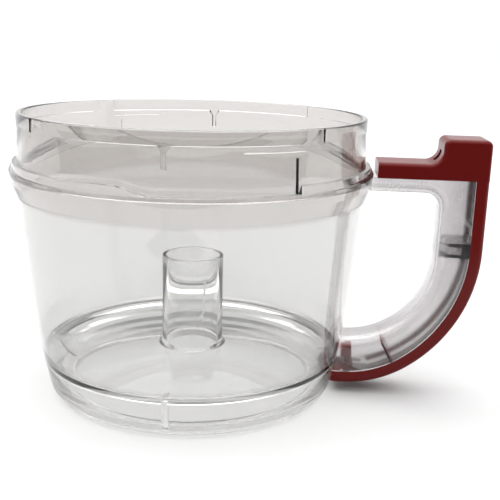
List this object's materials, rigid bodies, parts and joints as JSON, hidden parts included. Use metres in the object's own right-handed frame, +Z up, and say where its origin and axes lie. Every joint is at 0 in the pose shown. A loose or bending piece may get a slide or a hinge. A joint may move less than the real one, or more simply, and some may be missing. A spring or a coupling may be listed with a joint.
{
  "type": "food processor work bowl",
  "caption": "Clear food processor work bowl with a central drive tube, a bayonet collar and a D handle that hides a sprung lid interlock.",
  "frame": {"origin": "on the bowl's axis, in the plane of its bottom rim, at the mouth of the socket that drops over the base", "axes": "+Z up along the bowl and the drive tube, +X from the axis along the handle"},
  "size_m": [0.2907, 0.2226, 0.174],
  "materials": {
    "clear_plastic": "clear, polished, lightly scratched",
    "red_plastic": "gloss",
    "white_acetal": "natural, waxy",
    "grey_plastic": "satin",
    "screw_steel": "zinc plated"
  },
  "bodies": {
    "bowl": {"work_bowl": "clear_plastic", "handle_grip": "clear_plastic", "back_strip": "red_plastic", "handle_cover": "red_plastic", "slider_track": "white_acetal", "track_screws": "screw_steel", "pin_bush": "white_acetal", "upper_guide": "white_acetal", "middle_guide": "grey_plastic", "lower_guide": "red_plastic", "rod_spring": "screw_steel"},
    "slider": {"interlock_slider": "white_acetal"},
    "upper_rod": {"upper_push_rod": "white_acetal", "spring_washer": "screw_steel"},
    "lower_rod": {"lower_push_rod": "white_acetal"},
    "pin": {"switch_pin": "red_plastic"}
  },
  "joints": [
    {"name": "slider_push", "type": "slide", "parent": "bowl", "child": "slider", "axis": [1, 0, 0], "range_m": [0, 0.006], "stiffness_N_per_m": 300, "springref_m": -0.012},
    {"name": "upper_rod_slide", "type": "slide", "parent": "bowl", "child": "upper_rod", "axis": [0, 0, -1], "range_m": [0, 0.0061], "deforming": ["rod_spring"]},
    {"name": "lower_rod_turn", "type": "hinge", "parent": "bowl", "child": "lower_rod", "pos_m": [0.08913, 0, 0.096], "axis": [0, 1, 0], "range_deg": [0, 4.09]},
    {"name": "pin_slide", "type": "slide", "parent": "bowl", "child": "pin", "axis": [0, 0, -1], "range_m": [0, 0.0036]}
  ],
  "couplings": [
    {"joint": "upper_rod_slide", "follows": "slider_push", "ratio": 1},
    {"joint": "lower_rod_turn", "follows": "slider_push", "rad_per_m": 11.741},
    {"joint": "pin_slide", "follows": "slider_push", "ratio": 0.58333}
  ]
}
